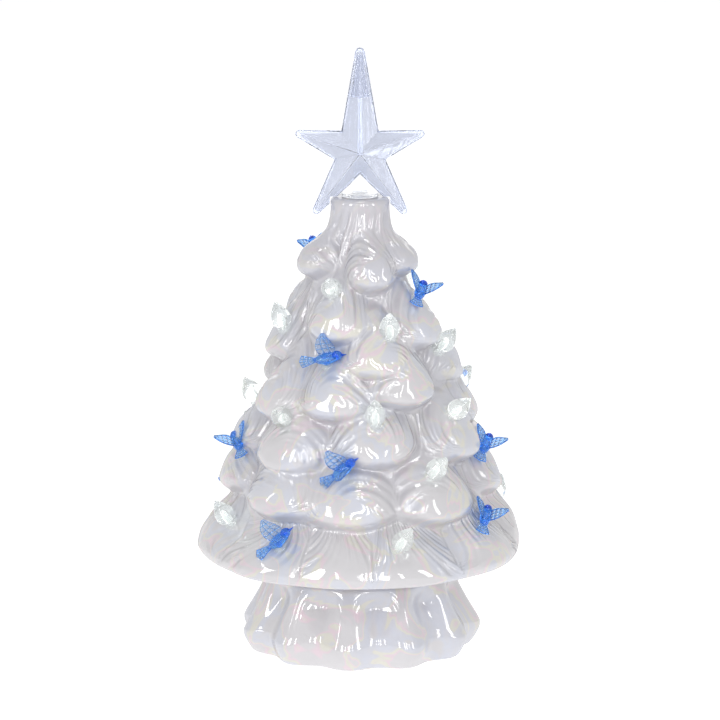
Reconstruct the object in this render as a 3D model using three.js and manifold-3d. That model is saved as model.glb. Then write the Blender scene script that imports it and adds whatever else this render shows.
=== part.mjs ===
// A table christmas tree: a glazed ceramic shell of draped branches on a fluted ceramic foot,
// with clear bulbs, blue birds and a clear star, lit from inside by a battery unit in the foot.
// Millimetres, +Z up, the front towards -Y, the origin on the table under the middle of the foot.

import * as THREE from 'three';
import { mergeVertices } from 'three/addons/utils/BufferGeometryUtils.js';
import Module from 'manifold-3d';

const wasm = await Module();
wasm.setup();

// Clearances
const gap = 0.3; // between pieces that touch on the real tree
const pinClearance = 0.3; // radial, round a pin in its hole
const glazeGap = 0.5; // between an ornament's collar and the glazed surface, measured radially

// Foot
const footHeight = 56;
const footRingRadius = 65.5;
const footShoulderRadius = 72.3; // at the ridges between the flutes
const footShoulderHeight = 13.5;
const footShoulderRise = 2.3; // how much higher the shoulder is in a flute
const footWaistRadius = 54;
const footWaistHeight = 50;
const footFlare = 1.3;
const footHollowRadius = 45.5; // of the space inside, under the deck
const footHollowHeight = 44;
const fluteCount = 11;
const fluteDepth = 8;
const ridgeAzimuth = 25.8; // of one ridge, from the front
const footMouthRadius = 57;
const deckThickness = 4;
const lipRadius = 46;
const lipWall = 3;
const lipHeight = 6;

// Tree shell
const treeBottom = footHeight + gap;
const neckTop = 268.6;
const neckRadius = 17.2;
const neckRound = 3;
const neckLength = 14;
const skirtRadius = 97.5;
const skirtHeight = 62; // of the skirt's widest line
const topReach = 39; // radius at the tips of the highest row
const topRowHeight = 230;
const reachCurve = 1.08;
const branchDepth = 17;
const branchRise = 38; // how far a branch runs up from its tip
const branchCurl = 16; // how far it curls under below its tip
const branchHalfWidth = 16; // at the axis, and it widens with the reach
const branchWidening = 0.34;
const branchSweep = 1; // how soon it draws in above its tip
const branchNose = 0.16; // rounding of the tip, as a share of the rise
const branchFullness = 1.3;
const creaseSharpness = 3.6;
const creaseFill = 0.21; // how much of the creases is filled between branches
const skirtFill = 0.8; // and along the skirt
const skirtSpread = 13;
const treeWall = 3.2; // behind the creases' foot
const neckFlare = 1.7;
const hollowDepth = 3; // of the dent that an ornament stands in
const hollowRadius = 7.5;
const treeFloor = 5;
const treeMouthRadius = 50;
const treeSides = 60;
const treeRings = 32;

// Branches: azimuth from the front in degrees, positive to the viewer's right, and the height
// of the tip
const branches = [
  [-73, 234], [14, 229], [61, 236], [129, 231], [183, 233], [240, 231], [-126, 203], [-21, 200],
  [58, 195], [134, 196], [192, 203], [-95, 184], [13, 181], [90, 172], [150, 178], [218, 180],
  [-123, 164], [-58, 154], [-16, 158], [30, 164], [90, 146], [150, 150], [203, 155], [-94, 130],
  [-41, 127], [8, 133], [63, 130], [111, 122], [170, 128], [222, 126], [-91, 106], [-39, 101],
  [-5, 99], [38, 99], [93, 104], [142, 102], [192, 100], [238, 103], [-118, 66], [-87, 68],
  [-35, 61], [-8, 61], [18, 62], [59, 67], [97, 74], [146, 64], [180, 64], [212, 64],
];

// Bulbs: azimuth and height of the seat, lean from upright, and the azimuth that it leans to
const bulbs = [
  [-28, 217.5, 60, -10], [134, 213, 40, 134], [-81, 192.5, 20, -90], [22.5, 193.5, 24, 0],
  [74, 180.5, 38, 85], [150, 195, 40, 160], [106, 153, 40, 90], [-95.5, 146, 28, -80],
  [-44.5, 144.5, 60, -30], [8, 146.5, 22, 0], [59, 145, 48, 72], [170, 145, 40, 175],
  [222, 143, 45, 222], [34.5, 115, 42, 60], [142, 119, 40, 140], [238, 120, 40, 240],
  [-72, 79.5, 35, -80], [15, 77.5, 35, 55], [108, 82, 18, 95], [180, 81, 40, 185],
];

// Birds: azimuth and height of the seat, the azimuth that it flies to, its climb, and its bank,
// positive with the right wing low
const birds = [
  [225, 229, 200, 30, -20], [61.5, 211, 170, 18, 25], [196, 213, 130, 30, 10],
  [-23.5, 177, 88, 8, 45], [195, 167, 250, 30, -10], [118, 141, 160, 35, 10],
  [-82, 119.5, 190, 18, -30], [-8, 117, 82, 36, 58], [85.5, 117, 165, 20, 28],
  [192, 117, 200, 30, 15], [-118, 83, 205, 35, -20], [-32.5, 76, 85, 38, 40],
  [58.5, 82.5, 172, 20, 25], [146, 81, 120, 30, 20],
];

// Ornaments
const pinRadius = 2;
const pinLength = 8;
const pinRise = 6.4; // how far a pin reaches up into its ornament
const holeDepth = 24;
const collarRadius = 4.2;
const collarRise = 1.2;
const collarSink = 4;
const bulbRadius = 6.2;
const bulbLength = 16;
const birdPinLean = 30;
const birdBodyLength = 15;
const birdBodyRadius = 3.6;
const birdHeadRadius = 2.9;
const birdRise = 4.6; // of the body's middle above the seat
const wingLength = 14;
const wingChord = 8.5;
const wingLift = 52;
const wingThickness = 1.1;
const tailLength = 9;
const tailHalfWidth = 4.2;

// Star
const starCentre = 294.7;
const starTipRadius = 2.4; // rounding at the end of each arm
const starArms = [
  // x and z of each arm's end and of the corner after it, from the star's centre
  { end: [0, 61.3], corner: [10.9, 12.8], round: 2.9 },
  { end: [37.6, 11.6], corner: [15, -4.2], round: starTipRadius },
  { end: [26.8, -36], corner: [0, -13.2], round: starTipRadius },
  { end: [-26.8, -36], corner: [-15, -4.2], round: starTipRadius },
  { end: [-37.6, 11.6], corner: [-10.9, 12.8], round: starTipRadius },
];
const starDepth = 9; // of each half at the centre
const starEndDepth = 3.4;
const starRimDepth = 1.3;
const starWall = 1.3;
const stemRadius = 5.5;
const stemPlugLength = 13;
const stemFlangeRadius = 10.9;
const stemFlangeThickness = 2;
const bladeWidth = 8;
const bladeThickness = 2.4;
const bladeTop = 290;

// Battery unit
const plateRadius = footMouthRadius - gap;
const plateBottom = 1.5;
const plateThickness = 2.5;
const cellRadius = 7.25;
const cellLength = 49.5;
const cellNubRadius = 2.75;
const cellNubLength = 1;
const cellPitch = 15.5;
const cellCount = 3;
const cellClearance = 0.7;
const boxWall = 2;
const contactThickness = 0.5;
const springLength = 3.4;
const springTurns = 2.5;
const springWire = 0.4; // radius
const springBaseRadius = 4.6;
const springTopRadius = 2.6;
const doorThickness = 2;
const doorClearance = 0.4;
const hingePinRadius = 0.6;
const hingePinLength = 1.4;
const switchX = 40;
const switchSize = [8, 16, 6];
const knobSize = [3, 3.6];
const knobFlange = 0.8; // how far the knob's head reaches past its stem
const knobHead = 1.4;
const knobProud = 0.7; // below the case's plate
const switchTravel = 4;

// Light
const postRadius = 6;
const postBore = 4.2;
const postFlangeRadius = 12;
const postFlangeThickness = 2;
const postTop = 150;
const postHoleRadius = 8;
const boardRadius = 14;
const boardThickness = 1.6;
const ledCount = 3;
const ledRadius = 2.5;
const ledHeight = 7;
const ledCircle = 8;
const wireRadius = 0.8;
const wireOffset = 1.6;

// Materials
const ceramic = { color: 0xd9dbe0, roughness: 0.14, metalness: 0 };
const clearPlastic = { color: 0xe4eef0, roughness: 0.05, metalness: 0, transparent: true, opacity: 0.5 };
const bluePlastic = { color: 0x2a5ad8, roughness: 0.12, metalness: 0, transparent: true, opacity: 0.8 };
const whitePlastic = { color: 0xe9e9e6, roughness: 0.45, metalness: 0 };
const blackPlastic = { color: 0x26272a, roughness: 0.5, metalness: 0 };
const nickel = { color: 0xb9b7b0, roughness: 0.3, metalness: 1 };
const cellJacket = { color: 0x3f4a44, roughness: 0.4, metalness: 0.2 };
const board = { color: 0xf2f2ee, roughness: 0.6, metalness: 0 };
const redWire = { color: 0xb02020, roughness: 0.5, metalness: 0 };

const tree = new THREE.Group();

function radians(degrees) {
  return THREE.MathUtils.degToRad(degrees);
}

function addNode(name, geometry, finish, place = new THREE.Matrix4()) {
  const mesh = new THREE.Mesh(geometry, new THREE.MeshStandardMaterial(finish));
  mesh.name = name;
  mesh.applyMatrix4(place);
  tree.add(mesh);
}

// Solids for cutting and joining

function solidOf(geometry) {
  const bare = geometry.clone();
  bare.deleteAttribute('normal');
  bare.deleteAttribute('uv');
  const merged = mergeVertices(bare, 1e-4);
  const corners = merged.index.array;
  const kept = [];
  for (let i = 0; i < corners.length; i += 3) {
    const [a, b, c] = corners.subarray(i, i + 3);
    if (a !== b && b !== c && c !== a) kept.push(a, b, c);
  }
  return new wasm.Manifold(new wasm.Mesh({
    numProp: 3,
    vertProperties: Float32Array.from(merged.attributes.position.array),
    triVerts: Uint32Array.from(kept),
  }));
}

function geometryOf(solid) {
  const cut = solid.getMesh();
  const geometry = new THREE.BufferGeometry();
  geometry.setAttribute('position', new THREE.BufferAttribute(cut.vertProperties, 3));
  geometry.setIndex(new THREE.BufferAttribute(cut.triVerts, 1));
  geometry.computeVertexNormals();
  return geometry;
}

// A profile of [radius, height] points turned round the Z axis
function turned(profile, sides) {
  const points = profile.map(([radius, height]) => new THREE.Vector2(radius, height));
  return new THREE.LatheGeometry(points, sides).rotateX(Math.PI / 2);
}

function rod(radius, bottom, top, sides = 12) {
  return turned([[0, bottom], [radius, bottom], [radius, top], [0, top]], sides);
}

function block(size, centre) {
  return new THREE.BoxGeometry(...size).translate(...centre);
}

function joined(geometries) {
  return geometries.map(solidOf).reduce((whole, next) => whole.add(next));
}

function evenly(bottom, top, rings) {
  return Array.from({ length: rings + 1 }, (_, i) => bottom + ((top - bottom) * i) / rings);
}

// A turned solid whose radius at each azimuth and height comes from a function
function sculpted(radiusAt, heights, sides) {
  const wall = heights.map((height) => [1, height]);
  const geometry = turned([[0, heights[0]], ...wall, [0, heights.at(-1)]], sides);
  const position = geometry.attributes.position;
  for (let i = 0; i < position.count; i++) {
    const x = position.getX(i);
    const y = position.getY(i);
    if (Math.hypot(x, y) < 0.5) continue;
    const radius = radiusAt(THREE.MathUtils.radToDeg(Math.atan2(x, -y)), position.getZ(i));
    position.setX(i, x * radius);
    position.setY(i, y * radius);
  }
  return geometry;
}

// Foot

// Scooped flutes with a ridge between each two, flaring down to a shoulder
function footRadius(azimuth, height) {
  const scoop = Math.sin(radians(azimuth - ridgeAzimuth) * fluteCount * 0.5) ** 2;
  const shoulder = footShoulderHeight + footShoulderRise * scoop;
  if (height < shoulder) {
    const under = 1 - height / shoulder;
    return footShoulderRadius - (footShoulderRadius - footRingRadius) * under ** 1.6
      - fluteDepth * scoop * (1 - 0.3 * under);
  }
  const drop = Math.max(0, (footWaistHeight - height) / (footWaistHeight - shoulder));
  return footWaistRadius + (footShoulderRadius - footWaistRadius) * drop ** footFlare
    - fluteDepth * scoop * THREE.MathUtils.smoothstep(drop, 0.08, 0.5);
}

function makeFoot() {
  const heights = [
    0, footShoulderHeight * 0.45, footShoulderHeight, footShoulderHeight + footShoulderRise * 2,
    ...evenly(footShoulderHeight * 1.85, footHeight, 6),
  ];
  const outside = solidOf(sculpted(footRadius, heights, fluteCount * 6));
  const ceiling = footHeight - deckThickness;
  const inside = solidOf(turned([
    [0, -1], [footMouthRadius, -1], [footMouthRadius, plateBottom + plateThickness + gap],
    [footMouthRadius - 3, plateBottom + plateThickness + gap],
    [footMouthRadius - 3, footHollowHeight * 0.5], [footHollowRadius, footHollowHeight],
    [footHollowRadius, ceiling], [0, ceiling],
  ], 32));
  const lip = solidOf(turned([
    [lipRadius - lipWall, footHeight - 1], [lipRadius, footHeight - 1],
    [lipRadius, footHeight + lipHeight], [lipRadius - lipWall, footHeight + lipHeight],
    [lipRadius - lipWall, footHeight - 1],
  ], 32));
  const postHole = solidOf(rod(postHoleRadius, ceiling - 1, footHeight + 1, 16));
  const foot = outside.add(lip).subtract(inside).subtract(postHole);
  addNode('base_shell', geometryOf(foot), ceramic);
}

// Tree shell

function reach(height) {
  const climb = Math.max(0, (height - skirtHeight) / (topRowHeight - skirtHeight));
  return skirtRadius - (skirtRadius - topReach) * climb ** reachCurve;
}

function coreRadius(height) {
  if (height <= topRowHeight) return reach(height) - branchDepth;
  const shoulder = Math.max(0, neckTop - neckRound - height);
  const flare = (shoulder / (neckTop - neckRound - topRowHeight)) ** neckFlare;
  const plain = neckRadius + (topReach - branchDepth - neckRadius) * flare;
  const intoRound = Math.min(1, Math.max(0, height - (neckTop - neckRound)) / neckRound);
  return plain - neckRound * (1 - Math.sqrt(1 - intoRound ** 2));
}

function azimuthBetween(a, b) {
  const apart = Math.abs(a - b) % 360;
  return Math.min(apart, 360 - apart);
}

function branchLift([tipAzimuth, tipHeight], azimuth, height) {
  const above = height - tipHeight;
  const along = Math.abs(above) / (above > 0 ? branchRise : branchCurl);
  const drawnIn = above > 0 ? branchSweep * (Math.hypot(along, branchNose) - branchNose) : along ** 2;
  const halfWidth = branchHalfWidth + branchWidening * reach(tipHeight);
  const aside = (radians(azimuthBetween(azimuth, tipAzimuth)) * reach(tipHeight)) / halfWidth;
  const left = 1 - aside ** 2 - drawnIn;
  return left > 0 ? left ** branchFullness : 0;
}

function hollowAt([seatAzimuth, seatHeight], azimuth, height) {
  const aside = radians(azimuthBetween(azimuth, seatAzimuth)) * reach(seatHeight);
  return hollowDepth * Math.exp(-((aside / hollowRadius) ** 2)
    - ((height - seatHeight) / hollowRadius) ** 2);
}

// The branches blend into each other, with soft creases between them
function treeRadius(azimuth, height) {
  const skirtLift = skirtFill * Math.exp(-(((height - skirtHeight) / skirtSpread) ** 2));
  const lifts = [creaseFill, skirtLift];
  for (const branch of branches) lifts.push(branchLift(branch, azimuth, height));
  const total = lifts.reduce((sum, lift) => sum + lift ** creaseSharpness, 0);
  const nearNeck = THREE.MathUtils.smoothstep(height, topRowHeight, neckTop - neckRound);
  const blended = total ** (1 / creaseSharpness) * (1 - nearNeck);
  const dents = [...bulbs, ...birds].reduce((sum, seat) => sum + hollowAt(seat, azimuth, height), 0);
  return coreRadius(height) + branchDepth * (1 - Math.exp(-2.6 * blended ** 2)) - dents;
}

function treeSolid(extra) {
  const radiusAt = (azimuth, height) => treeRadius(azimuth, height) + extra;
  const heights = [
    ...evenly(treeBottom, neckTop - neckRound, treeRings), neckTop - neckRound * 0.35, neckTop,
  ];
  heights[0] -= extra;
  heights[heights.length - 1] += extra;
  return solidOf(sculpted(radiusAt, heights, treeSides));
}

function treeCavity() {
  const profile = [[0, treeBottom + treeFloor]];
  const top = neckTop - neckLength;
  for (let i = 0; i <= 8; i++) {
    const height = treeBottom + treeFloor + ((top - treeBottom - treeFloor) * i) / 8;
    profile.push([coreRadius(height) - treeWall, height]);
  }
  profile.push([0, top]);
  return solidOf(turned(profile, 24));
}

function toward(azimuth, climb) {
  const [around, up] = [radians(azimuth), radians(climb)];
  return new THREE.Vector3(
    Math.sin(around) * Math.cos(up), -Math.cos(around) * Math.cos(up), Math.sin(up));
}

function frameOf(right, ahead, up, origin) {
  return new THREE.Matrix4().makeBasis(right, ahead, up).setPosition(origin);
}

// The place of an ornament: its seat on the glaze, turned so that its own Z axis is its pin's
function seatOf(azimuth, height, lean, leanAzimuth) {
  const radius = treeRadius(azimuth, height);
  const seat = toward(azimuth, 0).multiplyScalar(radius).setZ(height);
  const up = toward(leanAzimuth, 90 - lean);
  const right = toward(leanAzimuth + 90, 0);
  return frameOf(right, new THREE.Vector3().crossVectors(up, right), up, seat);
}

// A bird's body turned to its course over the seat, with Y ahead and Z out of its back
function flightOf(seat, [, , heading, climb, bank]) {
  const ahead = toward(heading, climb);
  const level = toward(heading - 90, 0);
  const lifted = new THREE.Vector3().crossVectors(level, ahead);
  const turn = radians(bank);
  const up = lifted.clone().multiplyScalar(Math.cos(turn)).addScaledVector(level, Math.sin(turn));
  const right = new THREE.Vector3().crossVectors(ahead, up);
  const middle = new THREE.Vector3(0, 0, birdRise).applyMatrix4(seat);
  return frameOf(right, ahead, up, middle);
}

function makeTree(seats) {
  let shell = treeSolid(0).subtract(treeCavity());
  shell = shell.subtract(solidOf(rod(treeMouthRadius, treeBottom - 1, treeBottom + treeFloor + 1, 32)));
  const neckHole = rod(stemRadius + pinClearance, neckTop - neckLength - 2, neckTop + 1, 16);
  shell = shell.subtract(solidOf(neckHole));
  const pinHole = rod(pinRadius + pinClearance, -holeDepth, pinRise + gap, 6);
  for (const seat of seats) shell = shell.subtract(solidOf(pinHole.clone().applyMatrix4(seat)));
  addNode('tree_shell', geometryOf(shell), ceramic);
}

// Ornaments: the collar follows the glaze, and the pin stands in its hole

function makeOrnament(name, parts, pinTop, seat, glaze, finish) {
  const pin = solidOf(rod(pinRadius, -pinLength, pinTop, 6).applyMatrix4(seat));
  const ornament = joined(parts).subtract(glaze).add(pin);
  addNode(name, geometryOf(ornament).applyMatrix4(seat.clone().invert()), finish, seat);
}

function bulbParts() {
  return [turned([
    [0, -collarSink], [collarRadius, -collarSink], [collarRadius, collarRise],
    [bulbRadius, bulbLength * 0.34], [bulbRadius * 0.78, bulbLength * 0.62],
    [bulbRadius * 0.16, bulbLength], [0, bulbLength],
  ], 7)];
}

function plate(corners, thickness) {
  const outline = new THREE.Shape(corners.map(([x, y]) => new THREE.Vector2(x, y)));
  const settings = { depth: thickness, bevelEnabled: false };
  return new THREE.ExtrudeGeometry(outline, settings).translate(0, 0, -thickness / 2);
}

function wing(side) {
  const corners = [
    [-0.11, -0.35], [0.35, -0.62], [0.8, -0.38], [1, 0], [0.5, 0.46], [-0.11, 0.35],
  ].map(([out, ahead]) => [side * out * wingLength, ahead * wingChord]);
  return plate(side > 0 ? corners : corners.reverse(), wingThickness)
    .rotateY(-side * radians(wingLift));
}

function birdParts() {
  const body = new THREE.SphereGeometry(1, 6, 4)
    .scale(birdBodyRadius, birdBodyLength / 2, birdBodyRadius * 0.9);
  const head = new THREE.SphereGeometry(birdHeadRadius, 5, 4)
    .translate(0, birdBodyLength * 0.45, birdHeadRadius * 0.7);
  const beak = new THREE.ConeGeometry(1.1, 4, 3)
    .translate(0, birdBodyLength * 0.45 + birdHeadRadius + 0.9, birdHeadRadius * 0.6);
  const tail = plate([
    [1.4, 0], [-1.4, 0], [-tailHalfWidth, -tailLength * 0.85], [0, -tailLength],
    [tailHalfWidth, -tailLength * 0.85],
  ], wingThickness).translate(0, -birdBodyLength * 0.36, 0);
  const wings = [1, -1].map((side) => (
    wing(side).translate(side * birdBodyRadius * 0.4, birdBodyLength * 0.08, 0.8)));
  return [body, head, beak, tail, ...wings];
}

function numbered(kind, i) {
  return `${kind}_${String(i + 1).padStart(2, '0')}`;
}

function makeBulbs(seats, glaze) {
  seats.forEach((seat, i) => {
    const parts = bulbParts().map((part) => part.applyMatrix4(seat));
    makeOrnament(numbered('bulb', i), parts, pinRise, seat, glaze, clearPlastic);
  });
}

function makeBirds(seats, glaze) {
  seats.forEach((seat, i) => {
    const flight = flightOf(seat, birds[i]);
    const collar = rod(collarRadius, -collarSink, collarRise, 7).applyMatrix4(seat);
    const parts = [collar, ...birdParts().map((part) => part.applyMatrix4(flight))];
    makeOrnament(numbered('bird', i), parts, birdRise, seat, glaze, bluePlastic);
  });
}

// Star

function starArmPoints(arm, before, inset) {
  const end = new THREE.Vector2(...arm.end);
  const along = end.clone().normalize();
  const aside = new THREE.Vector2(along.y, -along.x);
  const round = arm.round - inset;
  const middle = end.clone().addScaledVector(along, -arm.round);
  const pull = (corner) => new THREE.Vector2(...corner).multiplyScalar(1 - inset / 12);
  const at = (turn) => middle.clone()
    .addScaledVector(along, round * Math.sin(turn))
    .addScaledVector(aside, round * Math.cos(turn));
  return {
    middle,
    rim: [pull(before.corner), ...[165, 125, 90, 55, 15].map((turn) => at(radians(turn)))],
  };
}

// One half of the star as a low roof over its outline, with a ridge along each arm
function starRoof(inset, back) {
  const rims = starArms.map((arm, i) => starArmPoints(arm, starArms.at(i - 1), inset));
  const outline = rims.flatMap((arm) => arm.rim);
  const count = outline.length;
  const perArm = count / starArms.length;
  const vertices = [];
  for (const point of outline) vertices.push([point.x, back, point.y]);
  for (const point of outline) vertices.push([point.x, -(starRimDepth - inset * 0.6), point.y]);
  for (const arm of rims) vertices.push([arm.middle.x, -(starEndDepth - inset), arm.middle.y]);
  vertices.push([0, -(starDepth - inset * 1.4), 0], [0, back, 0]);
  const apex = count * 2 + rims.length;
  const faces = [];
  for (let i = 0; i < count; i++) {
    const next = (i + 1) % count;
    const ridge = count * 2 + Math.floor(i / perArm);
    faces.push([apex + 1, i, next], [i, i + count, next], [next, i + count, next + count]);
    faces.push([ridge, next + count, i + count]);
  }
  for (let k = 0; k < rims.length; k++) {
    const ridge = count * 2 + k;
    const corner = count + k * perArm;
    const cornerAfter = count + ((k + 1) % rims.length) * perArm;
    faces.push([apex, ridge, corner], [apex, cornerAfter, ridge]);
  }
  const geometry = new THREE.BufferGeometry();
  geometry.setAttribute('position', new THREE.Float32BufferAttribute(vertices.flat(), 3));
  geometry.setIndex(faces.flat());
  return geometry.translate(0, 0, starCentre);
}

function makeStar() {
  const slotSize = [bladeWidth + gap * 2, bladeThickness + gap * 2, bladeTop + gap - neckTop];
  const slot = solidOf(block(slotSize, [0, 0, (neckTop + bladeTop + gap) / 2]));
  const front = solidOf(starRoof(0, -gap / 2)).subtract(solidOf(starRoof(starWall, 1)));
  const neckRelief = solidOf(rod(neckRadius + gap * 2, neckTop - starDepth * 3, neckTop + gap, 24));
  const half = geometryOf(front.subtract(slot).subtract(neckRelief));
  addNode('star_front', half, clearPlastic);
  addNode('star_back', half.clone(), clearPlastic, new THREE.Matrix4().makeRotationZ(Math.PI));
  const flangeBottom = neckTop + gap;
  const flangeTop = flangeBottom + stemFlangeThickness;
  const stem = joined([
    rod(stemRadius, neckTop - stemPlugLength, flangeBottom + 1, 16),
    rod(stemFlangeRadius, flangeBottom, flangeTop, 20),
    block([bladeWidth, bladeThickness, bladeTop - flangeBottom - 1],
      [0, 0, (bladeTop + flangeBottom + 1) / 2]),
  ]);
  addNode('star_stem', geometryOf(stem), clearPlastic);
}

// Battery unit

const plateTop = plateBottom + plateThickness;
const boxHalfX = cellPitch + cellRadius + cellClearance;
const boxHalfY = (cellLength + cellNubLength + springLength) / 2 + contactThickness + gap * 2;
const cellAxis = plateBottom + doorThickness + cellClearance + cellRadius;
const boxCeiling = cellAxis + cellRadius + cellClearance;
const boxTop = boxCeiling + boxWall;
const hingeY = -boxHalfY + doorClearance + doorThickness / 2;
const hingeZ = plateBottom + doorThickness / 2;

function cellX(i) {
  return (i - (cellCount - 1) / 2) * cellPitch;
}

// Neighbouring cells lie opposite ways: 1 points the button to +Y, -1 to -Y
function cellWay(i) {
  return i % 2 === 0 ? 1 : -1;
}

function makeCase() {
  const chamber = [boxHalfX * 2, boxHalfY * 2, boxCeiling + 1];
  const outer = [(boxHalfX + boxWall) * 2, (boxHalfY + boxWall) * 2, boxTop - plateBottom];
  let unit = joined([
    rod(plateRadius, plateBottom, plateTop, 40),
    block(outer, [0, 0, (boxTop + plateBottom) / 2]),
  ]);
  const slot = [knobSize[0] + gap * 2, knobSize[1] + switchTravel + gap * 2, plateThickness + 2];
  const cuts = [
    block(chamber, [0, 0, (boxCeiling - 1) / 2]),
    block(slot, [switchX, 0, plateBottom + plateThickness / 2]),
    new THREE.CylinderGeometry(1, 1, 1, 8).scale(hingePinRadius + gap, 1, hingePinRadius + gap)
      .rotateZ(Math.PI / 2).scale((boxHalfX + hingePinLength + gap) * 2, 1, 1)
      .translate(0, hingeY, hingeZ),
  ];
  for (const way of [1, -1]) {
    const tagY = way * (boxHalfY - gap - contactThickness / 2);
    cuts.push(block([3, contactThickness + gap * 2, boxWall + 2],
      [-way * cellPitch, tagY - way * gap * 0.5, boxCeiling + boxWall / 2]));
  }
  for (const cut of cuts) unit = unit.subtract(solidOf(cut));
  addNode('battery_case', geometryOf(unit), whitePlastic);
}

function makeDoor() {
  const halfX = boxHalfX - doorClearance;
  const length = boxHalfY - doorClearance - hingeY;
  const pins = new THREE.CylinderGeometry(hingePinRadius, hingePinRadius, 1, 8)
    .rotateZ(Math.PI / 2).scale((boxHalfX + hingePinLength) * 2, 1, 1).translate(0, hingeY, hingeZ);
  const barrel = new THREE.CylinderGeometry(doorThickness / 2, doorThickness / 2, halfX * 2, 8)
    .rotateZ(Math.PI / 2).translate(0, hingeY, hingeZ);
  const lid = block([halfX * 2, length, doorThickness], [0, hingeY + length / 2, hingeZ]);
  const fingerNotch = solidOf(new THREE.CylinderGeometry(5, 5, 4, 12).rotateX(Math.PI / 2)
    .translate(0, hingeY + length, hingeZ - 5));
  addNode('battery_door', geometryOf(joined([pins, barrel, lid]).subtract(fingerNotch)), whitePlastic);
}

function springPath() {
  const points = [];
  const steps = springTurns * 8;
  for (let i = 0; i <= steps; i++) {
    const share = i / steps;
    const turn = share * springTurns * Math.PI * 2;
    const radius = THREE.MathUtils.lerp(springBaseRadius, springTopRadius, share);
    const height = springWire + share * (springLength - springWire * 2);
    points.push(new THREE.Vector3(Math.cos(turn) * radius, Math.sin(turn) * radius, height));
  }
  return new THREE.CatmullRomCurve3(points);
}

function tube(path, radius, sides, steps) {
  const ring = new THREE.Shape();
  for (let i = 0; i < sides; i++) {
    const turn = (i / sides) * Math.PI * 2;
    ring[i ? 'lineTo' : 'moveTo'](Math.cos(turn) * radius, Math.sin(turn) * radius);
  }
  ring.closePath();
  return new THREE.ExtrudeGeometry(ring, { steps, extrudePath: path, bevelEnabled: false });
}

function makeCells() {
  const profile = [
    [0, -cellLength / 2], [cellRadius, -cellLength / 2], [cellRadius, cellLength / 2],
    [cellNubRadius, cellLength / 2], [cellNubRadius, cellLength / 2 + cellNubLength],
    [0, cellLength / 2 + cellNubLength],
  ];
  const wound = tube(springPath(), springWire, 4, springTurns * 8);
  const shift = (springLength - cellNubLength) / 2;
  const wall = boxHalfY - gap;
  for (let i = 0; i < cellCount; i++) {
    const way = cellWay(i);
    const lie = new THREE.Matrix4().makeRotationX(-way * Math.PI / 2)
      .setPosition(cellX(i), way * shift, cellAxis);
    addNode(`battery_${i + 1}`, turned(profile, 12), cellJacket, lie);
    const springLie = new THREE.Matrix4().makeRotationX(-way * Math.PI / 2)
      .setPosition(cellX(i), -way * (wall - contactThickness - gap), cellAxis);
    addNode(`contact_spring_${i + 1}`, wound.clone(), nickel, springLie);
  }
}

// A strip from the cell at one end to the cell at the other, on the case's end wall
function contactStrip(name, fromX, toX, way, tagged) {
  const width = toX - fromX + cellRadius * 1.5;
  const y = way * (boxHalfY - gap - contactThickness / 2);
  const height = cellRadius * 1.5;
  const parts = [block([width, contactThickness, height], [(fromX + toX) / 2, y, cellAxis])];
  if (tagged) {
    const tagTop = boxTop + 1;
    parts.push(block([2, contactThickness, tagTop - cellAxis], [fromX, y, (tagTop + cellAxis) / 2]));
  }
  addNode(name, geometryOf(joined(parts)), nickel);
}

function makeContacts() {
  contactStrip('terminal_positive', cellX(0), cellX(0), 1, true);
  contactStrip('bridge_plate_1', cellX(0), cellX(1), -1, false);
  contactStrip('bridge_plate_2', cellX(1), cellX(2), 1, false);
  contactStrip('terminal_negative', cellX(2), cellX(2), -1, true);
}

function makeSwitch() {
  const [width, length, height] = switchSize;
  const bottom = plateTop + gap;
  const body = solidOf(block([width, length, height], [switchX, 0, bottom + height / 2]));
  const head = [knobSize[0] + knobFlange * 2, knobSize[1] + knobFlange * 2, knobHead];
  const channelHeight = knobHead + gap * 2;
  const channel = solidOf(block(
    [head[0] + gap * 2, head[1] + switchTravel + gap * 2, channelHeight + 1],
    [switchX, 0, bottom + channelHeight / 2 - 0.5]));
  addNode('switch_body', geometryOf(body.subtract(channel)), blackPlastic);
  const rest = -switchTravel / 2;
  const headMiddle = bottom + gap + knobHead / 2;
  const stemHeight = headMiddle - plateBottom + knobProud;
  const knob = joined([
    block(head, [switchX, rest, headMiddle]),
    block([...knobSize, stemHeight], [switchX, rest, headMiddle - stemHeight / 2]),
  ]);
  addNode('switch_knob', geometryOf(knob), blackPlastic);
}

// Light

const postBottom = boxTop + gap;

function wirePath(side) {
  const start = boxHalfY - gap - contactThickness - 1.6;
  const low = postBottom + postFlangeThickness + wireRadius + gap;
  const points = [
    [-cellPitch, start, boxTop + wireRadius + gap], [-cellPitch + 1, start - 8, boxTop + 1.6],
    [-9, 14, low], [-5, 7, low + 0.6], [-2.2, 2.4, low + 4], [-wireOffset, 0, low + 16],
    [-wireOffset, 0, (low + postTop) / 2], [-wireOffset, 0, postTop - gap],
  ];
  return new THREE.CatmullRomCurve3(
    points.map(([x, y, z]) => new THREE.Vector3(x * side, y * side, z)), false, 'centripetal');
}

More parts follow.
